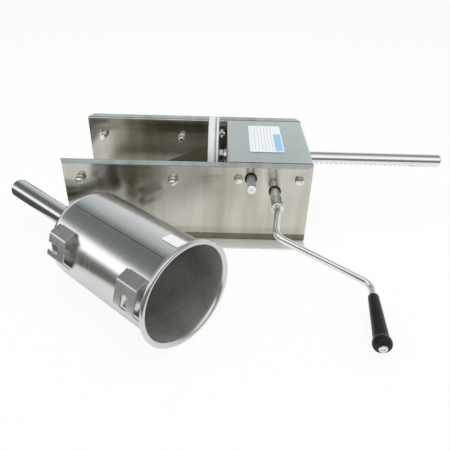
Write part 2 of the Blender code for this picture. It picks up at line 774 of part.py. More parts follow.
def build_crank(fast_axis):
    corners = crank_corners()
    out = (corners[1] - corners[0]).normalized()
    mouth = corners[0]
    grip_way = (corners[4] - corners[3]).normalized()
    bar_end = corners[3] + grip_way * crank_tail
    bore_depth = stub_length - seal_thickness - socket_gap + 3 * fit
    route = rounded_route(corners[1:4] + [bar_end], crank_bend, bend_steps)
    stations = [(mouth + out * bore_depth, out, socket_bore), (mouth, out, socket_bore),
                (mouth, out, socket_radius), (mouth + out * socket_length, out, socket_radius),
                (mouth + out * (socket_length + socket_taper), out, crank_radius)]
    stations += [(point, direction, crank_radius) for point, direction in route[1:]]
    thread_hole = grip_bolt_radius + fit
    thread_end = bar_end - grip_way * (grip_bolt_thread + fit)
    stations += [(bar_end, grip_way, thread_hole), (thread_end, grip_way, thread_hole)]
    arm = add_part("crank_arm", swept(stations, small_sides), polished, parent=fast_axis)
    screw_place = mouth + out * set_screw_place
    hole = rod_solid(set_screw_radius + fit, stub_flat, socket_radius + overrun)
    cut(arm, "set_screw_hole", hole, screw_place, ALONG_ROD, fast_axis)
    screw = rod_solid(set_screw_radius, stub_flat + fit, socket_radius)
    add_part("crank_set_screw", screw, machined, screw_place, ALONG_ROD, fast_axis)
    return bar_end, grip_way


def build_grip(bar_end, grip_way, fast_axis):
    """The turning grip and the bolt that holds it on the crank's end."""
    turn = Z_AXIS.rotation_difference(grip_way).to_euler()
    grip_axis = add_axis("grip_axis", bar_end, turn)
    grip_axis.parent = fast_axis
    bore = grip_bolt_radius + 2 * fit
    start = fit
    end = start + grip_length
    profile = [(start, bore)]
    profile += [(start + grip_length * along, grip_radius * across) for along, across in grip_shares]
    profile.append((end, bore))
    add_part("crank_grip", turned(profile, round_sides), black_plastic, parent=grip_axis)
    head = end + fit
    top = head + grip_bolt_head
    profile = [(-grip_bolt_thread, 0.0), (-grip_bolt_thread, grip_bolt_radius), (head, grip_bolt_radius),
               (head, grip_bolt_head_radius), (top - fit, grip_bolt_head_radius),
               (top, grip_bolt_head_radius - fit), (top, grip_bolt_socket),
               (top - grip_bolt_head / 2, grip_bolt_socket), (top - grip_bolt_head / 2, 0.0)]
    add_part("grip_bolt", turned(profile), polished, parent=grip_axis)


def barrel_profile():
    """The barrel's wall: rolled lip, flare, straight bore, rounded end and outlet hole."""
    middle = barrel_radius - barrel_wall / 2
    lip = Vector((lip_bead, lip_radius - lip_bead, 0.0))
    corners = [lip, Vector((flare_length, middle, 0.0)), Vector((barrel_length - barrel_wall / 2, middle, 0.0)),
               Vector((barrel_length - barrel_wall / 2, outlet_radius, 0.0))]
    route = rounded_route(corners[:3], flare_length / 2, flare_steps)[:-1]
    route += rounded_route(corners[1:], barrel_end_round, end_round_steps)[1:]
    outside = []
    inside = []
    for point, direction in route[1:]:
        side = Z_AXIS.cross(direction) * barrel_wall / 2
        outside.append((point + side)[:2])
        inside.append((point - side)[:2])
    bead = []
    for index in range(lip_bead_points):
        angle = math.radians(50) + math.radians(250) * index / (lip_bead_points - 1)
        bead.append((lip.x + lip_bead * math.cos(angle), lip.y + lip_bead * math.sin(angle)))
    return outside[::-1] + bead + inside


def build_barrel(axis):
    solid = turned(barrel_profile(), barrel_sides)
    add_part("barrel", solid, brushed, parent=axis)
    inner = barrel_radius + fit
    outer = inner + label_thickness
    end = label_start + label_length
    section = [(inner, label_start), (outer, label_start), (outer, end), (inner, end)]
    bm = bmesh.new()
    face = bm.faces.new([bm.verts.new((radius, 0.0, along)) for radius, along in section])
    bmesh.ops.rotate(bm, cent=(0.0, 0.0, 0.0), matrix=Matrix.Rotation(label_from, 3, 'Z'), verts=bm.verts[:])
    bmesh.ops.spin(bm, geom=[face], cent=(0.0, 0.0, 0.0), axis=(0.0, 0.0, 1.0), angle=label_sweep,
                   steps=label_steps)
    add_part("blank_barrel_label", bm, white_plastic, parent=axis)


def build_bracket(name, axis, side, from_mouth, open_down):
    """A folded bracket: two legs welded to the barrel and a face with a slot for the pin."""
    face = bracket_face - bracket_sheet / 2
    weld_radius = barrel_radius + bracket_sheet / 2 + 2 * fit
    weld = (side * weld_radius * math.cos(bracket_weld_angle), weld_radius * math.sin(bracket_weld_angle))
    corners = [weld, (side * face, bracket_half_height), (side * face, -bracket_half_height),
               (weld[0], -weld[1])]
    low = from_mouth - bracket_length / 2
    high = from_mouth + bracket_length / 2
    bm = folded(corners, bracket_sheet, bracket_fold, low, high)
    bracket = add_part(name, bm, brushed, parent=axis)
    half = bracket_slot / 2
    inner = barrel_radius + fit
    outer = bracket_face + overrun
    drill = rod_solid(half, inner, outer)
    oriented(drill, (0.0, 0.0, -side * 1.0), (0.0, 1.0, 0.0), (side * 1.0, 0.0, 0.0))
    bmesh.ops.translate(drill, vec=(0.0, -slot_drop, from_mouth), verts=drill.verts[:])
    cut(bracket, name + "_pin_hole", drill, parent=axis)
    near_x, far_x = sorted((side * inner, side * outer))
    if open_down:
        slot = box((near_x, -weld[1] - overrun, from_mouth - half), (far_x, -slot_drop, from_mouth + half))
    else:
        slot = box((near_x, -slot_drop - half, from_mouth), (far_x, -slot_drop + half, high + overrun))
    cut(bracket, name + "_slot", slot, parent=axis)


def build_brackets(axis):
    front_slot_from_mouth = rear_slot_from_mouth + rear_pin_x - front_pin_x
    for name, side in (("near", 1), ("far", -1)):
        build_bracket("rear_bracket_" + name, axis, side, rear_slot_from_mouth, True)
        build_bracket("front_bracket_" + name, axis, side, front_slot_from_mouth, False)


def build_outlet(axis):
    """Welded outlet spigot, gasket, stuffing tube and the ring nut that clamps it."""
    seat = barrel_length + fit
    spigot_end = seat + spigot_length
    profile = [(seat, spigot_bore), (seat, spigot_flange_radius), (seat + spigot_flange, spigot_flange_radius),
               (seat + spigot_flange, spigot_radius), (spigot_end, spigot_radius), (spigot_end, spigot_bore)]
    add_part("outlet_spigot", turned(profile, round_sides), machined, parent=axis)
    gasket_start = spigot_end + fit
    gasket_end = gasket_start + gasket
    washer = ring_solid(spigot_bore, tube_flange_radius, gasket_start, gasket_end, round_sides)
    add_part("tube_gasket", washer, white_plastic, parent=axis)
    flange = gasket_end + fit
    tube_end = barrel_length + tube_reach
    profile = [(flange, tube_radius - tube_wall), (flange, tube_flange_radius),
               (flange + tube_flange, tube_flange_radius), (flange + tube_flange, tube_radius),
               (tube_end, tube_radius), (tube_end, tube_radius - tube_wall)]
    add_part("stuffing_tube", turned(profile, round_sides), polished, parent=axis)
    lip = flange + tube_flange + fit
    bore = spigot_radius + fit
    profile = [(lip, tube_radius + fit), (lip, bore), (lip - tube_nut_skirt, bore),
               (lip - tube_nut_skirt, tube_nut_radius), (lip + tube_nut_lip / 2, tube_nut_radius),
               (lip + tube_nut_lip, tube_nut_radius - tube_nut_lip / 2), (lip + tube_nut_lip, tube_radius + fit)]
    nut = turned(profile, 2 * tube_nut_grips)
    for vert in nut.verts:
        radius = vert.co.xy.length
        if radius > tube_nut_radius - weld_distance:
            part_turn = math.atan2(vert.co.y, vert.co.x) * tube_nut_grips / (2 * math.pi)
            if round(part_turn * 2) % 2:
                vert.co.xy *= (radius - tube_nut_grip_depth) / radius
    add_part("tube_ring_nut", nut, machined, parent=axis)


def barrel_frame():
    """Place of the loose barrel: Z from its mouth to its outlet, X towards the near brackets."""
    flat = math.cos(barrel_tilt)
    to_mouth = Vector((math.cos(barrel_heading) * flat, math.sin(barrel_heading) * flat, math.sin(barrel_tilt)))
    level = to_mouth.cross(Z_AXIS).normalized()
    upward = level.cross(to_mouth)
    side = level * math.cos(barrel_roll) + upward * math.sin(barrel_roll)
    lift = -to_mouth.cross(side)
    turn = Matrix((side, lift, -to_mouth)).transposed()
    axis = add_axis("barrel_axis", (mouth_x, mouth_y, lip_centre_height), turn.to_euler())
    return axis


def build_stuffer():
    clear_scene()
    build_base()
    build_walls()
    build_gearbox()
    build_carrier()
    build_bushes_and_seals()
    build_fasteners()
    fast_axis = add_axis("fast_axis", (fast_x, 0.0, fast_height))
    slow_axis = add_axis("slow_axis", (slow_x, 0.0, slow_height))
    rod_axis = add_axis("rod_axis", (piston_face_x, 0.0, rod_height))
    build_drive(fast_axis, slow_axis)
    build_rod(rod_axis)
    build_piston(rod_axis)
    bar_end, grip_way = build_crank(fast_axis)
    build_grip(bar_end, grip_way, fast_axis)
    axis = barrel_frame()
    build_barrel(axis)
    build_brackets(axis)
    build_outlet(axis)


build_stuffer()
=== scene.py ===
import math

import bmesh
import bpy
from mathutils import Matrix, Vector


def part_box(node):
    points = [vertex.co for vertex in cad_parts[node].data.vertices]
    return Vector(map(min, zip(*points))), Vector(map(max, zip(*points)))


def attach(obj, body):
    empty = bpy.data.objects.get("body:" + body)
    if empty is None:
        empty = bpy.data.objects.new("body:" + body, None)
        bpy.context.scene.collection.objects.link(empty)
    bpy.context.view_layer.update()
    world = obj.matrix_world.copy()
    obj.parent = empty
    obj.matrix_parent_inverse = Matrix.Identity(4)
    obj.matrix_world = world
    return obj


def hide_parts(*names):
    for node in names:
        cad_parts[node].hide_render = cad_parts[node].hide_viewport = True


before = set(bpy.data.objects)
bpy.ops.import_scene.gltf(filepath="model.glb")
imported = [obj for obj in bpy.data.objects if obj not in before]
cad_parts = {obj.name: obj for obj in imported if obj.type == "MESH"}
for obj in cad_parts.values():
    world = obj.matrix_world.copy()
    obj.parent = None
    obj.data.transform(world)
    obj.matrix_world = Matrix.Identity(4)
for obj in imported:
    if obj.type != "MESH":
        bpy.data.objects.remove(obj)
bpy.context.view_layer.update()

# Base plate: 2 mm stainless sheet with rounded corners, brushed along the
# frame. Its free edges stand out on both sides, where table clamps hold it.
flat_angle = math.radians(1)
sharp_angle = math.radians(35)
fold_angle = math.radians(50)
weld_distance = 0.000002
sheet_edge = 0.00035


def noise(nodes, link, place, scale, detail=2.0):
    """Soft noise over a place, as a mask."""
    clouds = nodes.new("ShaderNodeTexNoise")
    clouds.inputs["Scale"].default_value = scale
    clouds.inputs["Detail"].default_value = detail
    link(place, clouds.inputs["Vector"])
    return clouds.outputs["Fac"]


def brushed_grain():
    """One set of brushed lines and soft clouds, stretched by each material's own scales."""
    group = bpy.data.node_groups.new("brushed_grain", "ShaderNodeTree")
    face = group.interface
    face.new_socket(name="Place", in_out="INPUT", socket_type="NodeSocketVector")
    face.new_socket(name="Fine Scale", in_out="INPUT", socket_type="NodeSocketVector")
    face.new_socket(name="Broad Scale", in_out="INPUT", socket_type="NodeSocketVector")
    face.new_socket(name="Lines", in_out="OUTPUT", socket_type="NodeSocketFloat")
    face.new_socket(name="Clouds", in_out="OUTPUT", socket_type="NodeSocketFloat")
    nodes = group.nodes
    link = group.links.new
    start = nodes.new("NodeGroupInput")
    end = nodes.new("NodeGroupOutput")
    found = []
    for scale in ("Fine Scale", "Broad Scale"):
        stretch = nodes.new("ShaderNodeVectorMath")
        stretch.operation = "MULTIPLY"
        link(start.outputs["Place"], stretch.inputs[0])
        link(start.outputs[scale], stretch.inputs[1])
        found.append(noise(nodes, link, stretch.outputs[0], 1.0))
    blend = nodes.new("ShaderNodeMix")
    blend.inputs["Factor"].default_value = 0.45
    link(found[0], blend.inputs["A"])
    link(found[1], blend.inputs["B"])
    link(blend.outputs["Result"], end.inputs["Lines"])
    link(noise(nodes, link, start.outputs["Place"], 16.0, 4.0), end.inputs["Clouds"])
    return group


grain = brushed_grain()


def remapped(nodes, link, source, low, high, start=0.3, end=0.7):
    """A mask brought from its middle range to the range a socket needs."""
    step = nodes.new("ShaderNodeMapRange")
    step.inputs["From Min"].default_value = start
    step.inputs["From Max"].default_value = end
    step.inputs["To Min"].default_value = low
    step.inputs["To Max"].default_value = high
    link(source, step.inputs["Value"])
    return step.outputs["Result"]


def maths(nodes, link, operation, first, second):
    """One sum on two sockets, or on a socket and a number."""
    step = nodes.new("ShaderNodeMath")
    step.operation = operation
    for value, slot in zip((first, second), step.inputs):
        if isinstance(value, float):
            slot.default_value = value
        else:
            link(value, slot)
    return step.outputs[0]


def mixed(nodes, link, mask, first, second, way="MIX"):
    """Two colours, each three numbers or a socket, mixed by a mask."""
    blend = nodes.new("ShaderNodeMix")
    blend.data_type = "RGBA"
    blend.blend_type = way
    link(mask, blend.inputs["Factor"])
    for colour, slot in ((first, blend.inputs["A"]), (second, blend.inputs["B"])):
        if isinstance(colour, tuple):
            slot.default_value = (*colour, 1.0)
        else:
            link(colour, slot)
    return blend.outputs["Result"]


def raised(nodes, link, mask, strength, distance):
    """Let a mask stand in the surface of the material whose nodes are given."""
    relief = nodes.new("ShaderNodeBump")
    relief.inputs["Strength"].default_value = strength
    relief.inputs["Distance"].default_value = distance
    link(mask, relief.inputs["Height"])
    link(relief.outputs["Normal"], nodes["Principled BSDF"].inputs["Normal"])


def new_material(name):
    """A fresh material, its nodes, the call that links them, its shader and its own place."""
    material = bpy.data.materials.new(name)
    material.use_nodes = True
    nodes = material.node_tree.nodes
    place = nodes.new("ShaderNodeTexCoord").outputs["Object"]
    return material, nodes, material.node_tree.links.new, nodes["Principled BSDF"], place


def brushed_steel(name, dark, light, roughness, fine, broad, bump=0.12, turn=None, shift=(0.0, 0.0, 0.0)):
    """Satin stainless: tone and gloss vary with the lines, and the lines stand in the surface."""
    material, nodes, link, shader, place = new_material(name)
    shader.inputs["Metallic"].default_value = 1.0
    centre = nodes.new("ShaderNodeMapping")
    centre.name = "Place"
    if turn is not None:
        centre.inputs["Rotation"].default_value = turn
    centre.inputs["Location"].default_value = shift
    link(place, centre.inputs["Vector"])
    lines = nodes.new("ShaderNodeGroup")
    lines.node_tree = grain
    lines.inputs["Fine Scale"].default_value = fine
    lines.inputs["Broad Scale"].default_value = broad
    link(centre.outputs["Vector"], lines.inputs["Place"])
    both = nodes.new("ShaderNodeMix")
    link(lines.outputs["Lines"], both.inputs["A"])
    link(lines.outputs["Clouds"], both.inputs["B"])
    mask = remapped(nodes, link, both.outputs["Result"], 0.0, 1.0)
    link(mixed(nodes, link, mask, dark, light), shader.inputs["Base Color"])
    gloss = remapped(nodes, link, lines.outputs["Lines"], roughness - 0.05, roughness + 0.07)
    link(gloss, shader.inputs["Roughness"])
    raised(nodes, link, lines.outputs["Lines"], bump, 0.0002)
    return material


def dulled(material, metallic):
    """Let some plain grey through a metal, as on steel that mirrors less than it should."""
    material.node_tree.nodes["Principled BSDF"].inputs["Metallic"].default_value = metallic


def painted_wall_shade_and_reflections(material, foot, foot_painted_shade_tone, painted_reflection_streak_tone, rim, rim_painted_reflection_tone):
    """Painted shade below the foot's bend, soft upright streaks of painted reflection above it, and a painted
    cool reflection on the rim.
    """
    nodes = material.node_tree.nodes
    link = material.node_tree.links.new
    split = nodes.new("ShaderNodeSeparateXYZ")
    link(nodes["Place"].outputs["Vector"], split.inputs["Vector"])
    upright = nodes.new("ShaderNodeVectorMath")
    upright.operation = "MULTIPLY"
    upright.inputs[1].default_value = (34.0, 0.0, 5.0)
    link(nodes["Place"].outputs["Vector"], upright.inputs[0])
    # Upright streaks that darken and warm the tone: painted reflection, not grain.
    streaks = noise(nodes, link, upright.outputs[0], 1.0)
    base_colour = nodes["Principled BSDF"].inputs["Base Color"]
    tone = base_colour.links[0].from_socket
    high = split.outputs["Z"]
    # Each mask multiplies in one painted mark: reflection streaks, shade below the foot, cool reflection on
    # the rim.
    for mask, colour in ((remapped(nodes, link, streaks, 0.0, 1.0, 0.42, 0.72), painted_reflection_streak_tone),
                         (remapped(nodes, link, high, 1.0, 0.0, foot - 0.0006, foot), foot_painted_shade_tone),
                         (remapped(nodes, link, high, 0.0, 1.0, rim, rim + 0.0004), rim_painted_reflection_tone)):
        tone = mixed(nodes, link, mask, tone, colour, "MULTIPLY")
    link(tone, base_colour)


def merged_copy(node):
    """A CAD node's solid with its triangles joined, and flat faces whole again."""
    bm = bmesh.new()
    bm.from_mesh(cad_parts[node].data)
    bmesh.ops.remove_doubles(bm, verts=bm.verts[:], dist=weld_distance)
    bmesh.ops.dissolve_limit(bm, angle_limit=flat_angle, verts=bm.verts[:], edges=bm.edges[:])
    return bm


def finished(bm, name, body, material, nodes, sharp=sharp_angle):
    """Shade a piece, give it its material, and seat it on its body in place of the CAD nodes."""
    mesh = bpy.data.meshes.new(name)
    bm.to_mesh(mesh)
    bm.free()
    mesh.shade_smooth()
    mesh.set_sharp_from_angle(angle=sharp)
    mesh.materials.append(material)
    piece = bpy.data.objects.new(name, mesh)
    bpy.context.scene.collection.objects.link(piece)
    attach(piece, body)
    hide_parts(*nodes)
    return piece


def sheet_piece(node, body, material, edge=sheet_edge):
    """A folded sheet with its cut edges broken, as they are after deburring."""
    piece = finished(merged_copy(node), node + "_sheet", body, material, [node])
    broken = piece.modifiers.new("broken_edges", "BEVEL")
    broken.width = edge
    broken.segments = 2
    broken.limit_method = "ANGLE"
    broken.angle_limit = fold_angle
    broken.harden_normals = True
    return piece


along_frame_fine = (7.0, 2600.0, 2600.0)
along_frame_broad = (2.6, 520.0, 520.0)
base_steel = brushed_steel("base_steel", (0.82, 0.82, 0.77), (0.92, 0.92, 0.87), 0.40,
                           along_frame_fine, along_frame_broad)
dulled(base_steel, 0.35)
sheet_piece("base_plate", "frame", base_steel)

# Side walls: 1.5 mm stainless sheet, foot folded inwards and rim outwards, with
# the rim's corners cut off. The satin lines run along the frame.
wall_steel = brushed_steel("wall_steel", (0.55, 0.535, 0.475), (0.66, 0.64, 0.58), 0.17,
                           along_frame_fine, along_frame_broad, 0.10)
foot_height = 0.0145
rim_height = 0.1338
# Painted light on the walls: a dark band of painted shade below the foot's bend, warm upright streaks of
# painted reflection, and a cool painted reflection on the rim.
painted_wall_shade_and_reflections(wall_steel, foot_height, (0.37, 0.37, 0.36), (0.76, 0.73, 0.68), rim_height, (0.82, 0.89, 0.96))
for wall in ("near_side_panel", "far_side_panel"):
    sheet_piece(wall, "frame", wall_steel)

# Gearbox: two channel plates and a folded cover between the walls, all satin
# sheet; the cover's two lips hang over the plates.
cover_steel = brushed_steel("cover_steel", (0.56, 0.60, 0.59), (0.66, 0.70, 0.69), 0.30,
                            along_frame_fine, along_frame_broad)
sheet_piece("gearbox_cover", "frame", cover_steel)
across_fine = (2600.0, 7.0, 2600.0)
across_broad = (520.0, 2.6, 520.0)
plate_steel = brushed_steel("plate_steel", (0.46, 0.46, 0.45), (0.56, 0.56, 0.55), 0.28,
                            across_fine, across_broad)
for plate in ("gearbox_front_plate", "gearbox_rear_plate"):
    sheet_piece(plate, "frame", plate_steel)

# Turned inner pieces: bushes, gears, pinions and their carrier plate, milled
# or turned from stainless bar and left with fine tool marks.
tool_fine = (900.0, 900.0, 900.0)
tool_broad = (240.0, 240.0, 240.0)
turned_steel = brushed_steel("turned_steel", (0.42, 0.42, 0.42), (0.54, 0.54, 0.54), 0.30,
                             tool_fine, tool_broad)
for inner in ("gearbox_front_rod_bush", "gearbox_rear_rod_bush", "gear_carrier_plate", "fast_near_bush",
              "fast_far_bush", "slow_near_bush", "rack_pinion", "drive_gear", "slow_pinion"):
    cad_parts[inner].material_slots[0].material = turned_steel

# Rating plate: thin white foil on the cover, left bare but for a pale blue
# block and blank ruled lines, with rounded corners.
rule_spacing = 0.0052
rule_width = 0.0009
foil_corner = 0.002


def ruled_foil():
    material, nodes, link, shader, place = new_material("ruled_foil")
    shader.inputs["Roughness"].default_value = 0.34
    split = nodes.new("ShaderNodeSeparateXYZ")
    link(place, split.inputs["Vector"])

    def inside(socket, low, high):
        """One between two places, and nothing outside them."""
        above = maths(nodes, link, "GREATER_THAN", socket, low)
        below = maths(nodes, link, "LESS_THAN", socket, high)
        return maths(nodes, link, "MULTIPLY", above, below)

    along = split.outputs["X"]
    across = split.outputs["Y"]
    block = maths(nodes, link, "MULTIPLY", inside(along, 0.1285, 0.1395), inside(across, -0.042, 0.022))
    wave = maths(nodes, link, "PINGPONG", along, rule_spacing / 2)
    rule = maths(nodes, link, "MULTIPLY", inside(wave, -0.001, rule_width / 2), inside(along, 0.0935, 0.1265))
    rule = maths(nodes, link, "MULTIPLY", rule, inside(across, -0.0405, 0.0505))
    speck = noise(nodes, link, place, 240.0)
    paper = mixed(nodes, link, speck, (0.76, 0.80, 0.82), (0.84, 0.87, 0.88))
    paper = mixed(nodes, link, rule, paper, (0.46, 0.50, 0.55))
    paper = mixed(nodes, link, block, paper, (0.30, 0.52, 0.72))
    link(paper, shader.inputs["Base Color"])
    raised(nodes, link, speck, 0.08, 0.0001)
    return material


low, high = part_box("blank_rating_plate")
foil = bmesh.new()
bmesh.ops.create_cube(foil, size=1.0)
bmesh.ops.scale(foil, vec=high - low, verts=foil.verts[:])
bmesh.ops.translate(foil, vec=(high + low) / 2, verts=foil.verts[:])
half_thickness = (high.z - low.z) / 2
uprights = [edge for edge in foil.edges
            if abs((edge.verts[0].co - edge.verts[1].co).z) > half_thickness]
bmesh.ops.bevel(foil, geom=uprights, offset=foil_corner, segments=6, profile=0.5, affect="EDGES", material=-1)
finished(foil, "rating_foil", "frame", ruled_foil(), ["blank_rating_plate"])

# Shaft seals: black rubber rings on the near wall, with a rounded outer lip
# that grips each stub.
wall_outer = 0.080
wall_inner = 0.0785
gap = 0.0003
quarter_turn = math.pi / 2
seal_steps = 64


def arc(centre_along, centre_out, radius, start, end, steps):
    """Points of a round in a profile; angles in degrees from the outward direction to the end."""
    turns = [math.radians(start + (end - start) * step / steps) for step in range(steps + 1)]
    return [(centre_along + radius * math.sin(turn), centre_out + radius * math.cos(turn)) for turn in turns]


def turned(profile, steps):
    """Spin (along, radius) points about Z; a profile that starts off the axis is closed to a ring."""
    bm = bmesh.new()
    points = [bm.verts.new((radius, 0.0, along)) for along, radius in profile]
    for first, second in zip(points, points[1:]):
        bm.edges.new((first, second))
    if profile[0][1] > 0.0:
        bm.edges.new((points[-1], points[0]))
    bmesh.ops.spin(bm, geom=bm.verts[:] + bm.edges[:], cent=(0.0, 0.0, 0.0), axis=(0.0, 0.0, 1.0),
                   angle=2 * math.pi, steps=steps, use_merge=True)
    bmesh.ops.remove_doubles(bm, verts=bm.verts[:], dist=weld_distance)
    bmesh.ops.recalc_face_normals(bm, faces=bm.faces[:])
    return bm


def placed(bm, matrix):
    bmesh.ops.transform(bm, matrix=matrix, verts=bm.verts[:])
    return bm


def facing_crank(x, y, z):
    """Local Z towards the crank side, local X along the frame."""
    return Matrix.Translation((x, y, z)) @ Matrix.Rotation(quarter_turn, 4, "X")


def facing_back(x, y, z):
    return Matrix.Translation((x, y, z)) @ Matrix.Rotation(-quarter_turn, 4, "X")


def moulded(name, dark, light, roughness, scale, bump):
    """Rubber or plastic with a fine moulded skin and a little unevenness in tone."""
    material, nodes, link, shader, place = new_material(name)
    skin = noise(nodes, link, place, scale, 3.0)
    link(mixed(nodes, link, noise(nodes, link, place, 40.0), dark, light), shader.inputs["Base Color"])
    gloss = remapped(nodes, link, skin, roughness - 0.05, roughness + 0.08)
    link(gloss, shader.inputs["Roughness"])
    raised(nodes, link, skin, bump, 0.0002)
    return material


seal_rubber = moulded("seal_rubber", (0.010, 0.010, 0.011), (0.022, 0.022, 0.024), 0.50, 900.0, 0.10)
fast_place = (0.1275, 0.090)
slow_place = (0.091247, 0.110095)
for seal, (x, z) in (("fast_shaft_seal", fast_place), ("slow_shaft_seal", slow_place)):
    profile = [(gap, 0.0073)] + arc(0.0013, 0.0081, 0.0010, -90, 90, 10) + [(0.0023, 0.0073)]
    finished(placed(turned(profile, seal_steps), facing_crank(x, -wall_outer, z)), seal + "_ring", "frame",
             seal_rubber, [seal])

# Support pins: shouldered stainless pins that carry the barrel's hooks, polished,
# with a chamfered end; the thread passes the wall into an acorn nut.
pin_steps = 48


def polished_steel(name, tone, roughness, marks=260.0):
    """Chrome-bright stainless with fine wipe marks and a trace of handling."""
    material, nodes, link, shader, place = new_material(name)
    shader.inputs["Metallic"].default_value = 1.0
    wipe = noise(nodes, link, place, marks, 3.0)
    handled = tuple(part * 0.94 for part in tone)
    haze = noise(nodes, link, place, 24.0)
    link(mixed(nodes, link, haze, handled, tone), shader.inputs["Base Color"])
    gloss = remapped(nodes, link, wipe, roughness * 0.7, roughness * 1.5)
    link(gloss, shader.inputs["Roughness"])
    raised(nodes, link, wipe, 0.02, 0.0001)
    return material


bright_steel = polished_steel("bright_steel", (0.80, 0.80, 0.79), 0.06)
pin_profile = [(-0.0164, 0.0), (-0.0164, 0.0038), (-0.0155, 0.0047), (-0.0071, 0.0047), (-0.0071, 0.0058),
               (-0.0065, 0.0064), (-0.0009, 0.0064), (-0.0003, 0.0058), (-0.0003, 0.0040), (0.0079, 0.0040),
               (0.0085, 0.0034), (0.0085, 0.0)]
pin_places = (("front", -0.1555), ("rear", -0.0215))
pin_height = 0.105
wall_sides = (("near", facing_crank, -wall_inner), ("far", facing_back, wall_inner))
for side, facing, y in wall_sides:
    for end, x in pin_places:
        node = side + "_" + end + "_pin"
        pin = placed(turned(pin_profile, pin_steps), facing(x, y, pin_height))
        finished(pin, node + "_polished", "frame", bright_steel, [node])

# Acorn nuts: 13 mm stainless cap nuts with chamfered corners and a round dome,
# one on each support pin outside the walls.
nut_flats = 0.013
hex_base = 0.0018
nut_top = 0.0073
fine_steps = 96
hex_angle = math.radians(28)
chamfer_slope = 1.73


def hexagonal(bm, across_flats, low, high, bore, chamfer_start):
    """Bring the outer rings between two heights to a hexagon whose corners are chamfered at both ends."""
    for vert in bm.verts:
        if low - weld_distance <= vert.co.z <= high + weld_distance and vert.co.xy.length > bore:
            turn = math.atan2(vert.co.y, vert.co.x)
            in_flat = (turn % math.radians(60)) - math.radians(30)
            reach = across_flats / 2 / math.cos(in_flat)
            to_end = min(vert.co.z - low, high - vert.co.z)
            reach = min(reach, chamfer_start + to_end * chamfer_slope)
            vert.co.x = reach * math.cos(turn)
            vert.co.y = reach * math.sin(turn)
    return bm


def hex_rings(low, high, radius):
    """Close rings at both ends of a hexagon, where its chamfers curve, and one between."""
    steps = (0.0, 0.0002, 0.0004, 0.0006, 0.0008)
    return ([(low + step, radius) for step in steps] + [((low + high) / 2, radius)]
            + [(high - step, radius) for step in reversed(steps)])


nut_profile = [(0.0088, 0.0), (0.0088, 0.0043), (hex_base, 0.0043)] + hex_rings(hex_base, nut_top, 0.0065)
nut_profile += [(0.0074, 0.0060)] + [(0.0078 + 0.0065 * math.sin(math.radians(turn)),
                                      0.0060 * math.cos(math.radians(turn))) for turn in range(0, 90, 9)]
nut_profile += [(0.0143, 0.0)]
for side, facing, y in wall_sides:
    for end, x in pin_places:
        node = side + "_" + end + "_acorn_nut"
        nut = hexagonal(turned(nut_profile, fine_steps), nut_flats, hex_base, nut_top, 0.005, 0.0062)
        finished(placed(nut, facing(x, y, pin_height)), node + "_polished", "frame", bright_steel,
                 [node], hex_angle)

# Gearbox bolts: small hexagon bolts with a low crown through the walls into the
# gearbox flanges, and plain nuts inside.
bolt_flats = 0.0115
bolt_height = 0.109
bolt_top = 0.0066
bolt_profile = [(-0.0079, 0.0), (-0.0079, 0.0026), (-0.0075, 0.0030), (hex_base, 0.0030)]
bolt_profile += hex_rings(hex_base, bolt_top, 0.0057)
bolt_profile += [(0.0067, 0.0050), (0.0071, 0.0038), (0.0073, 0.0019), (0.0073, 0.0)]
for side, facing, y in wall_sides:
    for end, x in (("front", 0.0735), ("rear", 0.162)):
        node = side + "_gearbox_" + end + "_bolt"
        bolt = hexagonal(turned(bolt_profile, fine_steps), bolt_flats, hex_base, bolt_top, 0.0035, 0.0054)
        finished(placed(bolt, facing(x, y, bolt_height)), node + "_polished", "frame", bright_steel,
                 [node], hex_angle)
        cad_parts[side + "_gearbox_" + end + "_nut"].material_slots[0].material = bright_steel

# Drive shafts: ground stainless, each with a stub outside the near wall that has
# two milled flats, a chamfered end and a centre hole from the lathe.
shaft_steel = polished_steel("shaft_steel", (0.86, 0.88, 0.90), 0.20)
dulled(shaft_steel, 0.78)
stub_flat = 0.0061
flats_from = 0.0835
shaft_angle = math.radians(24)
for node, body, (x, z), inner in (("fast_shaft", "fast_drive", fast_place, 0.080),
                                  ("slow_shaft", "slow_drive", slow_place, -0.0145)):
    profile = [(-inner, 0.0), (-inner, 0.0064), (-inner + 0.0006, 0.0070), (0.0820, 0.0070),
               (0.0824, 0.0067), (0.0836, 0.0067), (0.1132, 0.0067), (0.1140, 0.0060), (0.1140, 0.0017),
               (0.1120, 0.0)]
    shaft = turned(profile, 64)
    for vert in shaft.verts:
        if vert.co.z > flats_from and abs(vert.co.x) > stub_flat:
            vert.co.x = math.copysign(stub_flat, vert.co.x)
    finished(placed(shaft, facing_crank(x, 0.0, z)), node + "_ground", body, shaft_steel,
             [node], shaft_angle)

# Rack rod: a polished 20 mm bar with rack teeth milled along its underside, a
# rounded tail, and a turned stud at the piston's end.
rod_start = Vector((0.0275, 0.0, 0.108))
gear_module = 0.0025
tooth_pitch = math.pi * gear_module
tooth_count = 31
tooth_play = 0.0006
pressure_slope = math.tan(math.radians(25))
tooth_half = (tooth_pitch / 2 - tooth_play) / 2
pitch_level = -0.00675
tip_height = 0.8 * gear_module
root_depth = 1.1 * gear_module
tip_level = pitch_level - tip_height
root_level = pitch_level + root_depth
comb_reach = 0.013
half_tip = tooth_half - tip_height * pressure_slope
half_root = tooth_half + root_depth * pressure_slope
first_tooth = fast_place[0] - rod_start.x - 2 * tooth_pitch
last_gap = first_tooth + (tooth_count - 0.5) * tooth_pitch
along_rod = Matrix.Translation(rod_start) @ Matrix.Rotation(quarter_turn, 4, "Y")
rod_profile = [(0.0030, 0.0), (0.0030, 0.0050), (0.0035, 0.0055), (0.0237, 0.0055), (0.0237, 0.0095),
               (0.0242, 0.0100)] + arc(0.3635, 0.0070, 0.0030, 0, 80, 8) + [(0.3665, 0.0070), (0.3665, 0.0)]
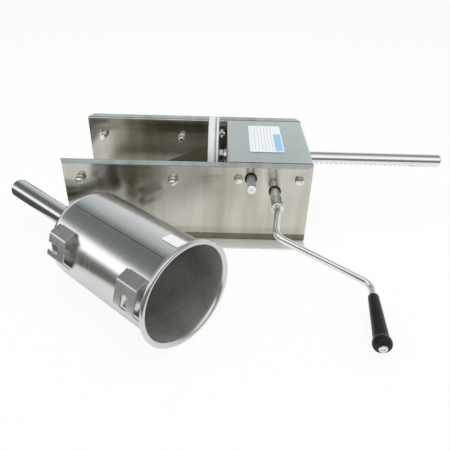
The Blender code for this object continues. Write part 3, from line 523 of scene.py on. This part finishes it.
rod_bar = placed(turned(rod_profile, fine_steps), along_rod)
comb = bmesh.new()
outline = [(first_tooth - tooth_pitch / 2, -comb_reach), (first_tooth - tooth_pitch / 2, root_level)]
for tooth in range(tooth_count):
    middle = first_tooth + tooth * tooth_pitch
    outline += [(middle - half_root, root_level), (middle - half_tip, tip_level),
                (middle + half_tip, tip_level), (middle + half_root, root_level)]
outline += [(last_gap, root_level), (last_gap, -comb_reach)]
side_face = comb.faces.new([comb.verts.new(rod_start + Vector((x, -comb_reach, z))) for x, z in outline])
pushed = bmesh.ops.extrude_face_region(comb, geom=[side_face])
bmesh.ops.translate(comb, vec=(0.0, 2 * comb_reach, 0.0),
                    verts=[item for item in pushed["geom"] if isinstance(item, bmesh.types.BMVert)])
bmesh.ops.recalc_face_normals(comb, faces=comb.faces[:])
comb_mesh = bpy.data.meshes.new("rack_comb")
comb.to_mesh(comb_mesh)
comb.free()
comb_object = bpy.data.objects.new("rack_comb", comb_mesh)
bpy.context.scene.collection.objects.link(comb_object)
bar_mesh = bpy.data.meshes.new("plain_bar")
rod_bar.to_mesh(bar_mesh)
rod_bar.free()
bar_object = bpy.data.objects.new("plain_bar", bar_mesh)
bpy.context.scene.collection.objects.link(bar_object)
milling = bar_object.modifiers.new("milled_rack", "BOOLEAN")
milling.operation = "DIFFERENCE"
milling.solver = "EXACT"
milling.object = comb_object
seen = bpy.context.evaluated_depsgraph_get()
rack = bmesh.new()
rack.from_object(bar_object, seen)
bpy.data.objects.remove(bar_object)
bpy.data.objects.remove(comb_object)
rod_steel = polished_steel("rod_steel", (0.82, 0.83, 0.84), 0.13)
# The teeth's dark tone is painted shade under the rod; only their rougher milled finish is the metal's own.
milled_steel_painted_shade = polished_steel("milled_steel_painted_shade", (0.34, 0.34, 0.35), 0.30)
# Faces of the teeth take the second material, darkened with painted shade.
for face in rack.faces:
    across = face.calc_center_median() - rod_start
    flat_side = (abs(face.normal.y) < 0.02 and across.x > first_tooth - tooth_pitch
                 and across.z < root_level + 0.0001)
    face.material_index = 1 if flat_side and across.z > tip_level - 0.0002 else 0
rod = finished(rack, "rack_rod_polished", "piston_rod", rod_steel, ["rack_rod"],
               shaft_angle)
rod.data.materials.append(milled_steel_painted_shade)

# Piston: a thick white food-plastic disc, a grey seal ring and a thinner white
# disc behind it, clamped on the rod's stud by a hexagon nut.
white_plastic = moulded("piston_plastic", (0.66, 0.69, 0.71), (0.74, 0.77, 0.78), 0.34, 500.0, 0.05)
valve_place = (0.035, 0.022)
piston_steps = 128
disc_profile = [(0.0, 0.0)] + arc(0.0020, 0.0579, 0.0020, -90, 0, 8) + [(0.0094, 0.0599), (0.0100, 0.0593),
                                                                       (0.0100, 0.0058), (0.0027, 0.0058),
                                                                       (0.0027, 0.0)]
finished(placed(turned(disc_profile, piston_steps), along_rod), "piston_disc_moulded", "piston_rod",
         white_plastic, ["piston_disc"])
ring_profile = [(0.0103, 0.0513), (0.0103, 0.0599)] + arc(0.01105, 0.0596, 0.00075, -80, 80, 6)
ring_profile += [(0.0118, 0.0599), (0.0118, 0.0513)]
seal_silicone = moulded("seal_silicone", (0.36, 0.38, 0.39), (0.46, 0.48, 0.49), 0.42, 700.0, 0.06)
finished(placed(turned(ring_profile, piston_steps), along_rod), "piston_seal_moulded", "piston_rod",
         seal_silicone, ["piston_seal_ring"])
plate_profile = [(0.0121, 0.0058), (0.0121, 0.0595), (0.0125, 0.0599), (0.0145, 0.0599), (0.0151, 0.0593),
                 (0.0151, 0.0058)]
finished(placed(turned(plate_profile, piston_steps), along_rod), "piston_plate_moulded", "piston_rod",
         white_plastic, ["piston_backing_disc"])
rod_nut_flats = 0.018
rod_nut_from = 0.0154
rod_nut_to = 0.0231
rod_nut_profile = [(rod_nut_from, 0.0058)] + hex_rings(rod_nut_from, rod_nut_to, 0.0090)
rod_nut_profile += [(rod_nut_to, 0.0058)]
rod_nut = hexagonal(turned(rod_nut_profile, fine_steps), rod_nut_flats, rod_nut_from, rod_nut_to,
                    0.0070, 0.0085)
finished(placed(rod_nut, along_rod), "piston_nut_polished", "piston_rod", bright_steel,
         ["piston_nut"], hex_angle)

# Air valve: a turned stainless poppet that lets air past the piston on the way
# back, with a flat head in front and a 13 mm nut on its threaded tail.
tail_nut_from = 0.0174
tail_nut_to = 0.0219
valve_profile = [(-0.0015, 0.0), (-0.0015, 0.0064), (-0.0009, 0.0070), (-0.0003, 0.0070), (-0.0003, 0.0030),
                 (tail_nut_from, 0.0030)] + hex_rings(tail_nut_from, tail_nut_to, 0.0065)
valve_profile += [(tail_nut_to, 0.0030), (0.0244, 0.0030), (0.0249, 0.0025), (0.0249, 0.0)]
valve_at = Matrix.Translation((0.0, valve_place[0], valve_place[1])) @ along_rod
valve = hexagonal(turned(valve_profile, fine_steps), nut_flats, tail_nut_from, tail_nut_to,
                  0.0035, 0.0062)
finished(placed(valve, valve_at), "air_valve_turned", "air_valve", bright_steel,
         ["piston_air_valve"], hex_angle)

# Crank: one bent bar of polished stainless, welded to a turned socket that slips
# over a stub and is held there by a set screw.
fast_axis = Vector((fast_place[0], 0.0, fast_place[1]))
crank_steel = polished_steel("crank_steel", (0.84, 0.84, 0.83), 0.08)
dulled(crank_steel, 0.88)
mouth = Vector((0.0, -0.102, 0.0))
outwards = Vector((0.0, -1.0, 0.0))
up = Vector((0.0, 0.0, 1.0))
bend_steps = 12
corners = [mouth + outwards * 0.0335, Vector((-0.0072, -0.1898, -0.0038)),
           Vector((0.1244, -0.2044, -0.0676)), Vector((0.1110, -0.3189, -0.0680))]
grip_way = (corners[3] - corners[2]).normalized()
bar_end = corners[2] + grip_way * 0.024
route = [corners[0], corners[1], corners[2], bar_end]
bar_radius = 0.0048
bend_radius = 0.013
tip_chamfer = 0.0006
tapped_radius = 0.0033
tapped_depth = 0.0093
socket_profile = [(0.0129, 0.0071), (0.0006, 0.0071), (0.0, 0.0076), (0.0, 0.0078), (0.0007, 0.0085),
                  (0.0262, 0.0085), (0.0270, 0.0078), (0.0272, 0.0064), (0.0285, 0.0060),
                  (0.0296, 0.0051), (0.0302, bar_radius)]
stations = [(mouth + outwards * along, outwards, radius) for along, radius in socket_profile]
bends = [mouth] + route
for before, corner, after in zip(bends, bends[1:], bends[2:]):
    coming = (corner - before).normalized()
    going = (after - corner).normalized()
    bend = coming.angle(going)
    inward = (going - coming).normalized()
    centre = corner + inward * bend_radius / math.cos(bend / 2)
    first = corner - coming * bend_radius * math.tan(bend / 2)
    axis = coming.cross(going).normalized()
    for step in range(bend_steps + 1):
        turn = Matrix.Rotation(bend * step / bend_steps, 3, axis)
        stations.append((centre + turn @ (first - centre), turn @ coming, bar_radius))
stations += [(bar_end - grip_way * tip_chamfer, grip_way, bar_radius),
             (bar_end, grip_way, bar_radius - tip_chamfer), (bar_end, grip_way, tapped_radius),
             (bar_end - grip_way * tapped_depth, grip_way, tapped_radius)]
crank = bmesh.new()
point, direction, radius = stations[0]
start = Matrix.Translation(point) @ up.rotation_difference(direction).to_matrix().to_4x4()
bmesh.ops.create_circle(crank, cap_ends=True, segments=40, radius=radius, matrix=start)
ring = crank.edges[:]
for next_point, next_direction, next_radius in stations[1:]:
    drawn = bmesh.ops.extrude_edge_only(crank, edges=ring)
    moved = [item for item in drawn["geom"] if isinstance(item, bmesh.types.BMVert)]
    ring = [item for item in drawn["geom"] if isinstance(item, bmesh.types.BMEdge)]
    turn = direction.rotation_difference(next_direction).to_matrix().to_4x4()
    step = (Matrix.Translation(next_point) @ turn @ Matrix.Scale(next_radius / radius, 4)
            @ Matrix.Translation(-point))
    bmesh.ops.transform(crank, matrix=step, verts=moved)
    point, direction, radius = next_point, next_direction, next_radius
bmesh.ops.edgeloop_fill(crank, edges=ring)
bmesh.ops.recalc_face_normals(crank, faces=crank.faces[:])
placed(crank, Matrix.Translation(fast_axis))
finished(crank, "crank_bar_polished", "crank", crank_steel, ["crank_arm"])
screw_from_mouth = 0.008
screw_at = (Matrix.Translation(fast_axis + mouth + outwards * screw_from_mouth)
            @ Matrix.Rotation(quarter_turn, 4, "Y"))
screw_profile = [(0.0064, 0.0), (0.0064, 0.0025), (0.0081, 0.0025), (0.0085, 0.0021), (0.0085, 0.0012),
                 (0.0074, 0.0012), (0.0074, 0.0)]
finished(placed(turned(screw_profile, 24), screw_at), "set_screw_turned", "crank", turned_steel,
         ["crank_set_screw"])

# Grip: black satin plastic, slim at the crank and swelling to a round collar at
# the free end; it turns on a polished bolt with a socket head.
grip_plastic = moulded("grip_plastic", (0.004, 0.005, 0.006), (0.009, 0.010, 0.012), 0.36, 420.0, 0.05)
grip_angle = math.radians(45)
grip_plastic.node_tree.nodes["Principled BSDF"].inputs["Specular IOR Level"].default_value = 0.32
grip_at = (Matrix.Translation(fast_axis + bar_end)
           @ up.rotation_difference(grip_way).to_matrix().to_4x4())
grip_profile = [(0.0003, 0.0036), (0.0003, 0.0050), (0.0006, 0.0059), (0.0014, 0.0067), (0.0030, 0.0070),
                (0.0120, 0.0074), (0.0300, 0.0081), (0.0480, 0.0087), (0.0640, 0.0093), (0.0720, 0.0096),
                (0.0752, 0.0098), (0.0766, 0.0103), (0.0780, 0.0112), (0.0796, 0.0117), (0.0815, 0.0118),
                (0.0835, 0.0117), (0.0852, 0.0113), (0.0866, 0.0106), (0.0876, 0.0096), (0.0882, 0.0083),
                (0.0883, 0.0036)]
finished(placed(turned(grip_profile, 72), grip_at), "crank_grip_moulded", "grip", grip_plastic,
         ["crank_grip"], grip_angle)
grip_bolt_profile = [(-0.0090, 0.0), (-0.0090, 0.0026), (-0.0086, 0.0030), (0.0886, 0.0030), (0.0886, 0.0048),
                     (0.0890, 0.0052), (0.0908, 0.0052), (0.0914, 0.0048), (0.0916, 0.0042),
                     (0.0916, 0.0026), (0.0901, 0.0025), (0.0901, 0.0)]
finished(placed(turned(grip_bolt_profile, 48), grip_at), "grip_bolt_polished", "crank", bright_steel,
         ["grip_bolt"])

# Barrel: a rolled and spun stainless can with a beaded mouth, a rounded end and a
# ground weld seam along one side; satin lines run round it.
barrel_radius = 0.0615
barrel_length = 0.202
lip_radius = 0.0682
heading = math.radians(-41.9)
own_turn = math.radians(20)
tilt = math.asin((lip_radius - barrel_radius) / barrel_length)
to_mouth = Vector((math.cos(heading) * math.cos(tilt), math.sin(heading) * math.cos(tilt),
                   math.sin(tilt)))
level = to_mouth.cross(up).normalized()
to_hooks = level * math.cos(own_turn) + level.cross(to_mouth) * math.sin(own_turn)
barrel_mouth = Vector((0.0154, -0.2872, lip_radius + gap))
barrel_turn = Matrix((to_hooks, -to_mouth.cross(to_hooks), -to_mouth)).transposed()
barrel_at = Matrix.Translation(barrel_mouth) @ barrel_turn.to_4x4()
from_barrel = barrel_turn.transposed()
grain_turn = from_barrel.to_euler()
grain_shift = -(from_barrel @ barrel_mouth)
barrel_wall = 0.001
mid_radius = barrel_radius - barrel_wall / 2
end_round = 0.020


def rolled_line():
    """The middle of the barrel's wall from behind its bead to the outlet, as (along, out) points."""
    end = barrel_length - barrel_wall / 2
    line = [(0.0085, mid_radius)] + arc(end - end_round, mid_radius - end_round, end_round, 0, 90, 12)
    return line + [(end, 0.0300), (end, 0.0160)]


def walled(line, wall):
    """Both faces of a thin wall about its middle line."""
    outside = []
    inside = []
    for index, (along, out) in enumerate(line):
        before = Vector(line[max(index - 1, 0)])
        after = Vector(line[min(index + 1, len(line) - 1)])
        way = (after - before).normalized()
        outside.append((along - way.y * wall / 2, out + way.x * wall / 2))
        inside.append((along + way.y * wall / 2, out - way.x * wall / 2))
    return outside, inside


outside, inside = walled(rolled_line(), barrel_wall)
bead = [(0.0072, 0.0618), (0.0064, 0.0626), (0.0062, 0.0640)] + arc(0.0032, 0.0652, 0.0030, 90, -90, 12)
bead += [(0.0006, 0.0636), (0.0016, 0.0622), (0.0030, 0.0612), (0.0046, 0.0606)]
barrel = turned(outside[::-1] + bead + inside, 160)
placed(barrel, barrel_at)
barrel_steel = brushed_steel("barrel_steel", (0.62, 0.62, 0.61), (0.72, 0.73, 0.72), 0.22,
                             (9.0, 9.0, 2600.0), (4.0, 4.0, 520.0), 0.05,
                             grain_turn, grain_shift)
satin_inside = brushed_steel("satin_inside", (0.40, 0.39, 0.37), (0.96, 0.95, 0.93), 0.36,
                             (620.0, 620.0, 760.0), (260.0, 260.0, 320.0), 0.60,
                             grain_turn, grain_shift)
seam_angle = math.radians(50)
seam_middle = (0.06159, 0.0, 0.097)
seam_size = (0.00012, 0.0010, 0.166)
lip_depth = 0.0040
seam = bmesh.ops.create_cube(barrel, size=1.0, matrix=barrel_at @ Matrix.Rotation(seam_angle, 4, "Z")
                             @ Matrix.Translation(seam_middle) @ Matrix.Diagonal((*seam_size, 1.0)))
seam_faces = set(face for vert in seam["verts"] for face in vert.link_faces)
for face in barrel.faces:
    middle = from_barrel @ (face.calc_center_median() - barrel_mouth)
    from_middle = Vector((middle.x, middle.y, (middle.z - 0.1) / 2))
    inwards = (from_barrel @ face.normal).dot(from_middle) < 0.0
    face.material_index = 2 if face in seam_faces else 1 if inwards and middle.z > lip_depth else 0
seam_steel = brushed_steel("seam_steel", (0.22, 0.22, 0.22), (0.34, 0.34, 0.33), 0.34,
                           tool_fine, tool_broad)
can = finished(barrel, "barrel_spun", "barrel_body", barrel_steel, ["barrel"])
can.data.materials.append(satin_inside)
can.data.materials.append(seam_steel)
dulled(satin_inside, 0.8)

# Barrel sticker: a small white paper label near the mouth, left bare.
sticker_from = math.radians(68)
sticker_sweep = math.radians(14)
sticker = bmesh.new()
section = [sticker.verts.new((radius, 0.0, along)) for radius, along in
           ((0.0618, 0.012), (0.0622, 0.012), (0.0622, 0.038), (0.0618, 0.038))]
face = sticker.faces.new(section)
bmesh.ops.rotate(sticker, cent=(0.0, 0.0, 0.0), matrix=Matrix.Rotation(sticker_from, 3, "Z"),
                 verts=sticker.verts[:])
bmesh.ops.spin(sticker, geom=[face], cent=(0.0, 0.0, 0.0), axis=(0.0, 0.0, 1.0), angle=sticker_sweep,
               steps=12)
bmesh.ops.recalc_face_normals(sticker, faces=sticker.faces[:])
placed(sticker, barrel_at)
sticker_paper = moulded("sticker_paper", (0.74, 0.76, 0.77), (0.84, 0.85, 0.86), 0.45, 600.0, 0.05)
finished(sticker, "barrel_sticker", "barrel_body", sticker_paper, ["blank_barrel_label"])

# Hook brackets: 2 mm stainless strips folded into low bridges and welded to the
# barrel, the rear pair open downwards and the front pair open to the outlet.
bracket_steel = brushed_steel("bracket_steel", (0.56, 0.56, 0.55), (0.66, 0.66, 0.65), 0.30,
                              (9.0, 9.0, 1800.0), (4.0, 4.0, 420.0), 0.05,
                              grain_turn, grain_shift)
dulled(bracket_steel, 0.85)
for bracket in ("rear_bracket_near", "rear_bracket_far", "front_bracket_near", "front_bracket_far"):
    sheet_piece(bracket, "barrel_body", bracket_steel, 0.0004)

# Outlet: a turned spigot welded to the barrel's end, a plastic gasket, the
# stuffing tube with its flange, and the ring nut that clamps it.
spigot_profile = [(0.2023, 0.0135), (0.2023, 0.0250), (0.2037, 0.0250), (0.2043, 0.0244), (0.2043, 0.0195),
                  (0.2157, 0.0195), (0.2163, 0.0189), (0.2163, 0.0135)]
finished(placed(turned(spigot_profile, fine_steps), barrel_at), "outlet_spigot_turned",
         "barrel_body", turned_steel, ["outlet_spigot"])
gasket_profile = [(0.2166, 0.0135), (0.2166, 0.0185), (0.2181, 0.0185), (0.2181, 0.0135)]
finished(placed(turned(gasket_profile, fine_steps), barrel_at), "tube_gasket_moulded",
         "barrel_body", white_plastic, ["tube_gasket"])
tube_profile = [(0.2184, 0.0135), (0.2184, 0.0185), (0.2204, 0.0185), (0.2204, 0.0152), (0.2210, 0.0146),
                (0.2216, 0.0145), (0.3856, 0.0145), (0.3860, 0.0142), (0.3860, 0.0138), (0.3856, 0.0135)]
tube_steel = polished_steel("tube_steel", (0.51, 0.52, 0.52), 0.14)
finished(placed(turned(tube_profile, fine_steps), barrel_at), "stuffing_tube_drawn", "tube", tube_steel,
         ["stuffing_tube"])
ring_nut_profile = [(0.2207, 0.0148), (0.2207, 0.0198), (0.2097, 0.0198), (0.2097, 0.0229),
                    (0.2103, 0.0235), (0.2215, 0.0235), (0.2223, 0.0231), (0.2227, 0.0225),
                    (0.2227, 0.0148)]
grip_lobes = 12
lobe_depth = 0.034
lobes_beyond = 0.0220
ring_nut = turned(ring_nut_profile, 144)
for vert in ring_nut.verts:
    if vert.co.xy.length > lobes_beyond:
        turn = math.atan2(vert.co.y, vert.co.x)
        vert.co.xy *= 1.0 - lobe_depth * (0.5 + 0.5 * math.cos(grip_lobes * turn))
finished(placed(ring_nut, barrel_at), "tube_ring_nut_turned", "tube_nut", turned_steel,
         ["tube_ring_nut"])

# Studio: a pale floor, two dark cards that only mirror in the metal, a plain room
# that the camera sees as white, a soft lamp above and a white panel to the left.
floor_mesh = bpy.data.meshes.new("studio_floor")
floor_shape = bmesh.new()
bmesh.ops.create_grid(floor_shape, x_segments=1, y_segments=1, size=6.0,
                      matrix=Matrix.Translation((0.0, 0.0, -0.0002)))
floor_shape.to_mesh(floor_mesh)
floor_shape.free()
floor = bpy.data.objects.new("studio_floor", floor_mesh)
bpy.context.scene.collection.objects.link(floor)
floor_paint = bpy.data.materials.new("studio_floor")
floor_paint.use_nodes = True
nodes = floor_paint.node_tree.nodes
link = floor_paint.node_tree.links.new
shader = nodes["Principled BSDF"]
shader.inputs["Base Color"].default_value = (0.90, 0.90, 0.89, 1.0)
shader.inputs["Roughness"].default_value = 0.8
shader.inputs["Specular IOR Level"].default_value = 0.0
glow = nodes.new("ShaderNodeEmission")
glow.inputs["Color"].default_value = (1.0, 1.0, 0.995, 1.0)
rays = nodes.new("ShaderNodeLightPath")
half_mirrored = maths(nodes, link, "MULTIPLY", rays.outputs["Is Glossy Ray"], 0.50)
shown = maths(nodes, link, "MAXIMUM", rays.outputs["Is Camera Ray"], half_mirrored)
shown = maths(nodes, link, "MAXIMUM", shown, rays.outputs["Is Transmission Ray"])
share = maths(nodes, link, "MULTIPLY", shown, 0.92)
paper = nodes.new("ShaderNodeMixShader")
link(share, paper.inputs[0])
link(shader.outputs[0], paper.inputs[1])
link(glow.outputs[0], paper.inputs[2])
link(paper.outputs[0], nodes["Material Output"].inputs["Surface"])
floor_mesh.materials.append(floor_paint)

card_height = 0.0006
card_felt = moulded("card_felt", (0.075, 0.071, 0.064), (0.110, 0.104, 0.096), 0.8, 200.0, 0.1)
for name, (left, front, right, back) in (("left_card", (-6.0, -1.6, -0.28, 0.6)),
                                         ("front_card", (-0.6, -3.0, 2.0, -0.5))):
    card_mesh = bpy.data.meshes.new(name)
    rim = [(left, front), (right, front), (right, back), (left, back)]
    card_mesh.from_pydata([(x, y, card_height) for x, y in rim], [], [(0, 1, 2, 3)])
    card_mesh.materials.append(card_felt)
    card = bpy.data.objects.new(name, card_mesh)
    bpy.context.scene.collection.objects.link(card)
    for seen_by in ("visible_camera", "visible_diffuse", "visible_transmission", "visible_shadow"):
        setattr(card, seen_by, False)


def set_ramp(ramp, levels):
    """Give a colour ramp its (position, colour) stops from low to high."""
    ramp.interpolation = "LINEAR"
    ramp.elements[0].position = levels[0][0]
    ramp.elements[0].color = (*levels[0][1], 1.0)
    ramp.elements[1].position = levels[-1][0]
    ramp.elements[1].color = (*levels[-1][1], 1.0)
    for position, level in levels[1:-1]:
        ramp.elements.new(position).color = (*level, 1.0)


world = bpy.data.worlds.new("studio_room")
bpy.context.scene.world = world
world.use_nodes = True
nodes = world.node_tree.nodes
link = world.node_tree.links.new
place = nodes.new("ShaderNodeTexCoord")
split = nodes.new("ShaderNodeSeparateXYZ")
link(place.outputs["Generated"], split.inputs["Vector"])
height = nodes.new("ShaderNodeValToRGB")
set_ramp(height.color_ramp, ((0.0, (1.0, 1.0, 1.0)), (0.17, (1.0, 1.0, 1.0)), (0.37, (0.76, 0.80, 0.82)),
                             (0.545, (0.58, 0.62, 0.63)), (0.70, (0.27, 0.29, 0.29)),
                             (0.866, (0.34, 0.35, 0.35)), (1.0, (0.52, 0.53, 0.53))))
link(split.outputs["Z"], height.inputs["Fac"])
towards = nodes.new("ShaderNodeVectorMath")
towards.operation = "DOT_PRODUCT"
towards.inputs[1].default_value = (-0.745, 0.316, 0.588)
link(place.outputs["Generated"], towards.inputs[0])
door = nodes.new("ShaderNodeMapRange")
door.interpolation_type = "SMOOTHSTEP"
door.inputs["From Min"].default_value = 0.84
door.inputs["From Max"].default_value = 0.955
door.inputs["To Min"].default_value = 1.0
door.inputs["To Max"].default_value = 0.34
link(towards.outputs["Value"], door.inputs["Value"])
room = nodes.new("ShaderNodeVectorMath")
room.operation = "SCALE"
link(height.outputs["Color"], room.inputs[0])
link(door.outputs["Result"], room.inputs["Scale"])
front_wall = nodes.new("ShaderNodeValToRGB")
set_ramp(front_wall.color_ramp, ((0.0, (0.20, 0.20, 0.19)), (0.36, (0.22, 0.22, 0.21)),
                                 (0.52, (1.12, 1.13, 1.12)), (0.92, (1.12, 1.13, 1.12)),
                                 (1.0, (0.52, 0.53, 0.53))))
link(split.outputs["Z"], front_wall.inputs["Fac"])
in_front = remapped(nodes, link, split.outputs["Y"], 0.0, 1.0, -0.05, -0.30)
around = mixed(nodes, link, in_front, room.outputs["Vector"], front_wall.outputs["Color"])
rays = nodes.new("ShaderNodeLightPath")
backdrop = mixed(nodes, link, rays.outputs["Is Camera Ray"], around, (1.0, 1.0, 1.0))
link(backdrop, nodes["Background"].inputs["Color"])

for name, size, power, spot, aim, mirrored in (
        ("soft_lamp", (1.6, 1.2), 14.5, (0.1, -0.3, 1.6), (0.0, 0.0, 0.0), False),
        ("left_panel", (1.1, 0.44), 1.6, (-1.45, -0.22, 0.37), (-1.0, -0.22, 0.37), True)):
    lamp = bpy.data.lights.new(name, "AREA")
    lamp.shape = "RECTANGLE"
    lamp.size = size[0]
    lamp.size_y = size[1]
    lamp.energy = power
    lamp_object = bpy.data.objects.new(name, lamp)
    lamp_object.location = spot
    lamp_object.rotation_euler = (Vector(spot) - Vector(aim)).to_track_quat("Z", "Y").to_euler()
    lamp_object.visible_glossy = mirrored
    bpy.context.scene.collection.objects.link(lamp_object)

# Camera: where the straight edges of the frame fall on those in the photo.
yaw = math.radians(0.39)
pitch = math.radians(33.62)
roll = math.radians(1.64)
ahead = Vector((math.sin(yaw) * math.cos(pitch), math.cos(yaw) * math.cos(pitch), -math.sin(pitch)))
rightwards = Vector((math.cos(yaw), -math.sin(yaw), 0.0))
upwards = rightwards.cross(ahead)
image_right = rightwards * math.cos(roll) + upwards * math.sin(roll)
image_up = upwards * math.cos(roll) - rightwards * math.sin(roll)
camera_data = bpy.data.cameras.new("photo_camera")
camera_data.sensor_width = 36.0
camera_data.lens = 38.5
camera_data.clip_start = 0.01
camera = bpy.data.objects.new("photo_camera", camera_data)
camera.matrix_world = (Matrix.Translation((0.0515, -0.6979, 0.4394))
                       @ Matrix((image_right, image_up, -ahead)).transposed().to_4x4())
bpy.context.scene.collection.objects.link(camera)
bpy.context.scene.camera = camera
bpy.context.scene.view_settings.view_transform = "Standard"
